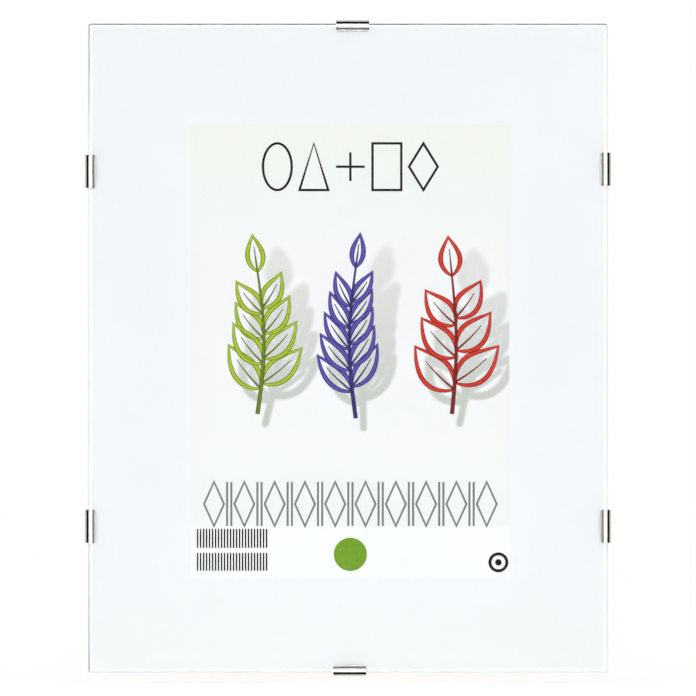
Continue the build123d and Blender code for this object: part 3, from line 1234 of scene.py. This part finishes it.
@dataclass
class PrintedSlip(SubAssembly):
    """The slip behind the glass, and its print: plain figures, three sprigs, a frieze, stripes and two spots.

    Places are measured from the middle of the slip. Ink lies on the paper as thin closed plates, counted in
    layers, and what crosses lies on layers of its own.
    """

    node: Piece
    box: Box
    paper_roughness: float = 0.45
    layer: float = 0.003
    shadow_layer: float = 3.0
    ink_layer: float = 5.0
    leaf_layers: int = 5
    stem_layer: float = 11.0
    band_lines: int = 5
    oval_points: int = 64
    disc_points: int = 72
    figure_line: float = 1.1
    figure_size: Point = (14.4, 22.7)
    figure_gap: float = 2.5
    figures_up: float = 85.5
    frieze_line: float = 0.95
    frieze_size: Point = (140.2, 20.4)
    frieze_units: int = 10
    frieze_up: float = -70.6
    lozenge_share: float = 0.33
    upright_share: float = 0.07
    stripe_block: float = 33.3
    stripe_count: int = 24
    stripe_rows: tuple[Point, ...] = ((-82.1, -90.9), (-93.2, -101.5))
    stripes_left: float = -71.4
    disc_radius: float = 7.7
    disc_up: float = -93.9
    spot_ring: Point = (3.2, 4.6)
    spot_dot: float = 1.5
    spot_place: Point = (68.5, -97.6)
    shadow_shift: Point = (3.6, -4.4)
    shadow_lean: Point = (0.1, -0.05)
    shadow_softness: Point = (1.1, 0.035)
    shadow_fade: float = 0.008
    shadow_grid: float = 0.6
    shadow_margin: float = 0.5
    sprigs: tuple[Sprig, ...] = (
        Sprig("green", (-43.0, -29.0), Ink.GREEN, Ink.MOSS, 4, 27.0, 11.5, 56.0, 3.0, 66.0),
        Sprig("violet", (2.5, -31.0), Ink.VIOLET, Ink.PLUM, 5, 25.0, 8.5, 50.0, -3.0, 70.0),
        Sprig("red", (47.0, -29.0), Ink.RED, Ink.WINE, 3, 29.0, 14.5, 60.0, 2.0, 64.0),
    )
    tones: Tones = (
        (0.0, "#FAFAFB"), (0.108, "#FAFAFB"), (0.118, "#F4F6F3"), (0.35, "#F5F5F5"), (0.6, "#F6F4F6"),
        (0.82, "#F3F5F2"), (1.0, "#F3F5ED"),
    )

    def on_paper(self, flat: Array, layer: float) -> Array:
        """Puts points of the slip's plane in front of the paper by so many layers."""
        placed = flat + (self.box.middle[0], self.box.middle[2])
        return np.insert(placed, 1, self.box.low[1] - layer * self.layer, axis=1)

    def plate(self, outline: Array, layer: float) -> Shell:
        """A filled shape: its outline on the paper and again at the front of a layer."""
        return lofted(np.stack([self.on_paper(outline, depth) for depth in (0, layer)]))

    def band(self, stroke: Stroke, layer: float) -> Shell:
        """A stroke of ink, whose tone rises from the rims to the middle by the sine of half a turn.

        Args:
            stroke: The stroke.
            layer: How many layers off the paper its front is.

        Returns:
            Its shell: some lines along its front, and one down each rim.
        """
        left, right = mitred(stroke.path, np.asarray(stroke.width) / 2, stroke.closed)
        shares = np.linspace(0, 1, self.band_lines)
        front = [self.on_paper(left + (right - left) * share, layer) for share in shares]
        rings = np.stack(front + [self.on_paper(right, 0), self.on_paper(left, 0)], axis=1)
        return lofted(rings, stroke.closed, np.append(np.sin(math.pi * shares), (0, 0)))

    def figure(self, motif: Motif, across: float) -> list[Shell]:
        """One figure of the head line, inside the line's height.

        Args:
            motif: Which one it is.
            across: How far right of the slip's middle it stands.

        Returns:
            A closed line's shell, or one for each bar.
        """
        half_wide, half_high = ((size - self.figure_line) / 2 for size in self.figure_size)
        up = self.figures_up
        if motif is Motif.PLUS:
            level = ((across - half_wide, up), (across + half_wide, up))
            upright = ((across, up - half_wide), (across, up + half_wide))
            strokes = bars((level, upright), self.figure_line)
            return [self.band(bar, self.ink_layer + step) for step, bar in enumerate(strokes)]
        if motif is Motif.OVAL:
            path = oval((across, up), (half_wide, half_high), self.oval_points)
        else:
            path = np.array(motif.value) * (half_wide, half_high) + (across, up)
        return [self.band(Stroke(path, self.figure_line, True), self.ink_layer)]

    def head_line(self) -> Shell:
        """The row of plain figures.

        Returns:
            One shell with all of them.
        """
        pitch = self.figure_size[0] + self.figure_gap
        places = (np.arange(len(Motif)) - (len(Motif) - 1) / 2) * pitch
        return Shell.joined([shell for motif, x in zip(Motif, places) for shell in self.figure(motif, x)])

    def frieze(self) -> Shell:
        """Tall lozenges in a row, with a pair of thin uprights between each two.

        Returns:
            One shell with all of them.
        """
        pitch = self.frieze_size[0] / self.frieze_units
        half_size = (pitch * self.lozenge_share, self.frieze_size[1] / 2)
        foot, head = self.frieze_up - half_size[1], self.frieze_up + half_size[1]
        strokes = []
        for unit in range(self.frieze_units):
            across = (unit + 0.5) * pitch - self.frieze_size[0] / 2
            path = np.array(Motif.LOZENGE.value) * half_size + (across, self.frieze_up)
            strokes.append(Stroke(path, self.frieze_line, True))
            if unit:
                sides = [across + (side * self.upright_share - 0.5) * pitch for side in (-1, 1)]
                strokes += bars([((x, foot), (x, head)) for x in sides], self.frieze_line)
        return Shell.joined([self.band(stroke, self.ink_layer) for stroke in strokes])

    def stripes(self) -> Shell:
        """Two blocks of even upright stripes, as wide as the gaps between them.

        Returns:
            One shell with all of them.
        """
        pitch = self.stripe_block / self.stripe_count
        places = self.stripes_left + (np.arange(self.stripe_count) + 0.5) * pitch
        ends = [((x, foot), (x, head)) for head, foot in self.stripe_rows for x in places]
        return Shell.joined([self.band(bar, self.ink_layer) for bar in bars(ends, pitch / 2)])

    def disc(self) -> Shell:
        """The plain coloured disc."""
        rim = oval((0.0, self.disc_up), (self.disc_radius,) * 2, self.disc_points)
        return self.plate(rim, self.ink_layer)

    def spot(self) -> Shell:
        """The small ring with a dot in it.

        Returns:
            One shell with both.
        """
        inner, outer = self.spot_ring
        middle, dot = (
            oval(self.spot_place, (radius, radius), self.oval_points)
            for radius in ((inner + outer) / 2, self.spot_dot)
        )
        ring = self.band(Stroke(middle, outer - inner, True), self.ink_layer)
        return Shell.joined([ring, self.plate(dot, self.ink_layer)])

    def sprig_leaves(self, sprig: Sprig) -> Shell:
        """The outlines of a sprig's leaves, each on another layer than its neighbours.

        Args:
            sprig: The sprig.

        Returns:
            One shell with all of them.
        """
        outlines = [outline for outline, _ in sprig.leaves()]
        layers = self.ink_layer + np.arange(len(outlines)) % self.leaf_layers
        return Shell.joined([self.band(*drawn) for drawn in zip(outlines, layers)])

    def sprig_stem(self, sprig: Sprig) -> Shell:
        """A sprig's stem, and the ribs of its leaves a layer below it."""
        shells = [self.band(rib, self.stem_layer - 1) for _, rib in sprig.leaves()]
        return Shell.joined(shells + [self.band(sprig.stem_stroke(), self.stem_layer)])

    def shade_under(self, stroke: Stroke, foot: float, places: Array) -> Array:
        """How dark one stroke's shadow is at each of many places.

        The stroke is moved by the shadow's shift, and by its lean for each millimetre above the foot. A
        place is dark inside the stroke, and fades by a smooth step over the softness outside it. The softness
        grows and the shade weakens with the height above the foot.

        Args:
            stroke: The stroke that throws the shadow.
            foot: The height of its sprig's foot.
            places: Points of the slip's plane.

        Returns:
            The shade of each place, from zero to one.
        """
        height = stroke.path[:, 1:] - foot
        path = stroke.path + self.shadow_shift + height * np.array(self.shadow_lean)
        path = np.concatenate((path, path[:1])) if stroke.closed else path
        start, leg = path[:-1], np.diff(path, axis=0)
        away = places[:, None, :] - start
        share = np.clip(np.sum(away * leg, axis=2) / np.sum(leg * leg, axis=1), 0, 1)
        distance = np.linalg.norm(away - share[..., None] * leg, axis=2).min(axis=1)
        above = np.maximum(places[:, 1] - foot, 0)
        softness = self.shadow_softness[0] + self.shadow_softness[1] * above
        inside = np.clip(1 - (distance - np.max(stroke.width) / 2) / softness, 0, 1)
        return inside**2 * (3 - 2 * inside) * np.clip(1 - self.shadow_fade * above, 0, 1)

    def shadow(self) -> Shell:
        """The soft shadow under the sprigs: a thin plate with the shade of each point of a grid.

        Every column of the grid is a ring: its points up the front, and two more down the back.

        Returns:
            The plate's shell.
        """
        strokes = [
            (stroke, sprig.foot[1])
            for sprig in self.sprigs
            for stroke in [sprig.stem_stroke()] + [line for leaf in sprig.leaves() for line in leaf]
        ]
        drawn = np.concatenate([stroke.path for stroke, _ in strokes])
        tall = np.ptp(drawn[:, 1])
        reach = self.shadow_softness[0] + abs(self.shadow_shift[1]) + self.shadow_grid
        reach = reach + np.abs(self.shadow_lean) * tall
        bare = np.array((self.box.half[0], self.box.half[2])) - self.shadow_margin
        low = np.maximum(drawn.min(axis=0) - reach, -bare)
        high = np.minimum(drawn.max(axis=0) + reach, bare)
        columns, rows = np.ceil((high - low) / self.shadow_grid).astype(int)
        across, up = np.linspace(low[0], high[0], columns), np.linspace(low[1], high[1], rows)
        places = np.stack(np.meshgrid(across, up, indexing="ij"), axis=-1).reshape(-1, 2)
        margin = reach + self.shadow_softness[1] * tall
        shade = np.zeros(len(places))
        for stroke, foot in strokes:
            past = np.maximum(stroke.path.min(axis=0) - places, places - stroke.path.max(axis=0))
            near = np.all(past < margin, axis=1)
            shade[near] = np.maximum(shade[near], self.shade_under(stroke, foot, places[near]))
        front, back = (
            self.on_paper(places, layer).reshape(columns, rows, 3) for layer in (self.shadow_layer, 0)
        )
        rings = np.concatenate((front, back[:, -1:], back[:, :1]), axis=1)
        return lofted(rings, tones=np.pad(shade.reshape(columns, rows), ((0, 0), (0, 2))))

    def build(self) -> list[Piece]:
        """Dresses the slip, and prints it.

        Returns:
            The slip, and each part of its print.
        """
        foot, head = self.box.low[2], self.box.high[2]
        finish = Paper("coated_printed_paper", self.tones, foot, head, self.paper_roughness)
        paper = dress_node(self.node, finish)
        inks = {ink: ink.value.material() for ink in Ink}
        motifs = [
            ("print_figures", self.head_line(), inks[Ink.BLACK]),
            ("print_frieze", self.frieze(), inks[Ink.GREY]),
            ("print_stripes", self.stripes(), inks[Ink.BLACK]),
            ("print_disc", self.disc(), inks[Ink.DISC_GREEN]),
            ("print_spot", self.spot(), inks[Ink.BLACK]),
            ("print_shadow", self.shadow(), paper.data.materials[0]),
        ]
        for sprig in self.sprigs:
            motifs += [
                (f"print_{sprig.name}_leaves", self.sprig_leaves(sprig), inks[sprig.leaf_ink]),
                (f"print_{sprig.name}_stem", self.sprig_stem(sprig), inks[sprig.stem_ink]),
            ]
        belonging = Belonging("printed_paper", "frame")
        return [paper] + [put_in(name, shell, (ink,), belonging) for name, shell, ink in motifs]


@dataclass
class BackingSheet(SubAssembly):
    """The plain white sheet behind the slip."""

    node: Piece
    box: Box
    roughness: float = 0.8
    tones: Tones = ((0.0, "#F6F7F8"), (0.3, "#F7F7F9"), (1.0, "#F7F8FA"))

    def build(self) -> list[Piece]:
        """Dresses the sheet."""
        foot, head = self.box.low[2], self.box.high[2]
        return [dress_node(self.node, Paper("plain_white_paper", self.tones, foot, head, self.roughness))]


@dataclass
class BackingBoard(SubAssembly):
    """The hardboard back: its sizes say where its punched holes have pale, torn rims."""

    node: Piece
    box: Box
    slot_from_edge: float = 18.65
    slot_half_size: Point = (8.82, 3.17)
    slot_corner: float = 1.0
    side_clip_spacing: float = 165.0
    keyhole_radius: float = 4.0
    neck_half_width: float = 2.0
    neck_run: float = 7.0

    def cut_outs(self) -> tuple[CutOut, ...]:
        """The slots, which stand for their mirror images too, and both keyholes with their necks.

        Returns:
            Every hole, with a keyhole as a round one and its neck.
        """
        half_wide, _, half_high = self.box.half
        middle = self.box.middle[2]
        inset, corner = self.slot_from_edge, self.slot_corner
        hole, neck = self.keyhole_radius, self.neck_half_width
        lying, neck_middle = half_wide - self.box.high[2], self.neck_run / 2
        neck_length = neck_middle + neck
        return (
            CutOut((0.0, half_high - inset), self.slot_half_size, corner, True),
            CutOut((half_wide - inset, self.side_clip_spacing / 2), self.slot_half_size[::-1], corner, True),
            CutOut((0.0, 0.0), (hole, hole), hole),
            CutOut((0.0, neck_middle), (neck, neck_length), neck),
            CutOut((lying, middle), (hole, hole), hole),
            CutOut((lying + neck_middle, middle), (neck_length, neck), neck),
        )

    def build(self) -> list[Piece]:
        """Dresses the board."""
        board = Hardboard("hardboard_pressed_on_cloth", self.box.middle[2], self.box.low[1], self.cut_outs())
        return [dress_node(self.node, board)]


@dataclass
class Studio:
    """A plain white studio: a long lens square to the pane, soft light, and a floor that fades to white.

    The frame hangs a few millimetres over the floor, so that its bottom clip has room to swing. Lengths are
    metres here, apart from the width of the camera's sensor, which is in millimetres.
    """

    middle: Place
    lowest: float
    floor_drop: float = 0.0036
    distance: float = 3.0
    farthest: float = 30.0
    view_width: float = 0.32192
    sensor_width: float = 36.0
    floor_low: Point = (-2.5, -0.6)
    floor_high: Point = (2.5, 3.0)
    floor_colour: str = "#FAFAFA"
    floor_glow: float = 0.66
    sky: float = 0.3
    front_light: float = 77.0
    front_narrowness: float = 220.0
    front_rise: float = 1.5
    mirror_scale: float = 1.85
    mirror_tones: tuple[Point, ...] = (
        (0.0, 0.0), (4.8, 0.0), (5.4, 0.54), (9.6, 0.54), (10.2, 0.91), (14.5, 0.91), (15.5, 0.0),
        (84.0, 0.0), (85.5, 0.26), (89.5, 0.26), (92.0, 0.53), (133.0, 0.53), (138.0, 0.1), (160.0, 0.1),
        (167.0, 0.4), (180.0, 0.46),
    )
    soft_box: float = 0.46
    soft_box_edge: Point = (0.17, 0.27)

    def camera(self) -> None:
        """Puts the camera square to the middle of the pane, far off, as a copy stand's long lens is."""
        lens = bpy.data.cameras.new("camera")
        lens.sensor_width = self.sensor_width
        lens.lens = self.sensor_width * self.distance / self.view_width
        lens.clip_end = self.farthest
        camera = in_scene("camera", lens)
        x, y, z = self.middle
        camera.location = (x, y - self.distance, z)
        camera.rotation_euler = (math.pi / 2, 0.0, 0.0)
        bpy.context.scene.camera = camera

    def floor(self) -> None:
        """Lays a pale floor under the frame.

        It glows a little for the camera, so that it fades to white. It keeps no light from the frame, and
        from below it is seen through.
        """
        (left, front), (right, back) = self.floor_low, self.floor_high
        corners = ((left, front), (right, front), (right, back), (left, back))
        mesh = bpy.data.meshes.new("floor")
        height = self.lowest - self.floor_drop
        mesh.from_pydata([(x, y, height) for x, y in corners], [], [(0, 1, 2, 3)])
        material = bpy.data.materials.new("studio_floor")
        add = emptied(material)
        matt = add("BsdfDiffuse", self.floor_colour)
        glow = add("Math", add("LightPath").outputs["Is Camera Ray"], self.floor_glow, operation="MULTIPLY")
        both = add("AddShader", matt, add("Emission", WHITE, glow))
        below = add("NewGeometry").outputs["Backfacing"]
        add("OutputMaterial", add("MixShader", below, both, add("BsdfTransparent")))
        mesh.materials.append(material)
        floor = in_scene("floor", mesh)
        floor.visible_glossy = False
        floor.visible_shadow = False
        floor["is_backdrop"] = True

    def mirrored_room(self, add: Adder, axes: Sequence[Socket]) -> Node:
        """Adds what bright metal mirrors.

        Rings about the lens's axis, each by its angle from that axis, and in each quarter of the sky a soft
        box, where both the sideways and the upward share of the direction are large.

        Args:
            add: What adds a node to the world.
            axes: The direction's three shares.

        Returns:
            The brightness.
        """
        to_front = add("Math", axes[1], -1.0, operation="MULTIPLY")
        share = add("Math", add("Math", to_front, operation="ARCCOSINE"), math.pi, operation="DIVIDE")
        greys = [(degrees / 180, (tone, tone, tone, 1.0)) for degrees, tone in self.mirror_tones]
        rings = add("ValToRGB", share, stops=greys)
        sides = [add("Math", axes[way], operation="ABSOLUTE") for way in (0, 2)]
        nearer = add("Math", *sides, operation="MINIMUM")
        edge = (*self.soft_box_edge, 0.0, self.soft_box)
        box = add("MapRange", nearer, *edge, interpolation_type="SMOOTHSTEP")
        mirrored = add("Math", rings, box, operation="MAXIMUM")
        return add("Math", mirrored, self.mirror_scale, operation="MULTIPLY")

    def light(self) -> None:
        """Lights the studio.

        The light is an even level and, from the front and the back, a soft lobe: the cosine of the angle
        from a line that rises a little from the lens's axis, raised to a power. Rays that leave a mirror see
        the room made for them, and the camera sees plain white.
        """
        world = bpy.data.worlds.new("studio")
        add = emptied(world)
        axes = add("SeparateXYZ", add("TexCoord").outputs["Generated"]).outputs
        rise = math.radians(self.front_rise)
        level = add("Math", axes[1], operation="ABSOLUTE")
        upward = add("Math", axes[2], math.sin(rise), operation="MULTIPLY")
        towards = add("Math", level, math.cos(rise), upward, operation="MULTIPLY_ADD", use_clamp=True)
        lobe = add("Math", towards, self.front_narrowness, operation="POWER")
        strength = add("Math", lobe, self.front_light, self.sky, operation="MULTIPLY_ADD")
        path = add("LightPath").outputs
        strength = add("Mix", path["Is Glossy Ray"], strength, self.mirrored_room(add, axes))
        for ray in ("Is Transmission Ray", "Is Camera Ray"):
            strength = add("Mix", path[ray], strength, 1.0)
        add("OutputWorld", add("Background", WHITE, strength))
        bpy.context.scene.world = world

    def build(self) -> None:
        """Sets up the camera, the floor, the light and the plain view transform."""
        self.camera()
        self.floor()
        self.light()
        bpy.context.scene.view_settings.view_transform = "Standard"


def main() -> None:
    """Builds the studio and every sub-assembly in order."""
    logging.basicConfig(level=logging.INFO, format="%(name)s: %(message)s")
    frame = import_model()
    solid_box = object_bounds()
    nodes = frame["nodes"]
    pane, board = Box.of("glass_pane"), Box.of("backing_board")
    middle = (pane.middle[0] * MM, pane.low[1] * MM, pane.middle[2] * MM)
    Studio(middle, solid_box[0][2]).build()
    strip = SpringClip(pane.low[1], board.high[1] - board.low[1])
    sub_assemblies: tuple[SubAssembly, ...] = (
        BackingBoard(nodes["backing_board"], board),
        BackingSheet(nodes["backing_sheet"], Box.of("backing_sheet")),
        PrintedSlip(nodes["label_slip"], Box.of("label_slip")),
        GlassPane(pane),
        ClipSet(strip, frame["joints"]),
    )
    for sub_assembly in sub_assemblies:
        for piece in sub_assembly.build():
            LOG.info("%s: %s, %d faces", type(sub_assembly).__name__, piece.name, len(piece.data.polygons))


if __name__ == "__main__":
    main()
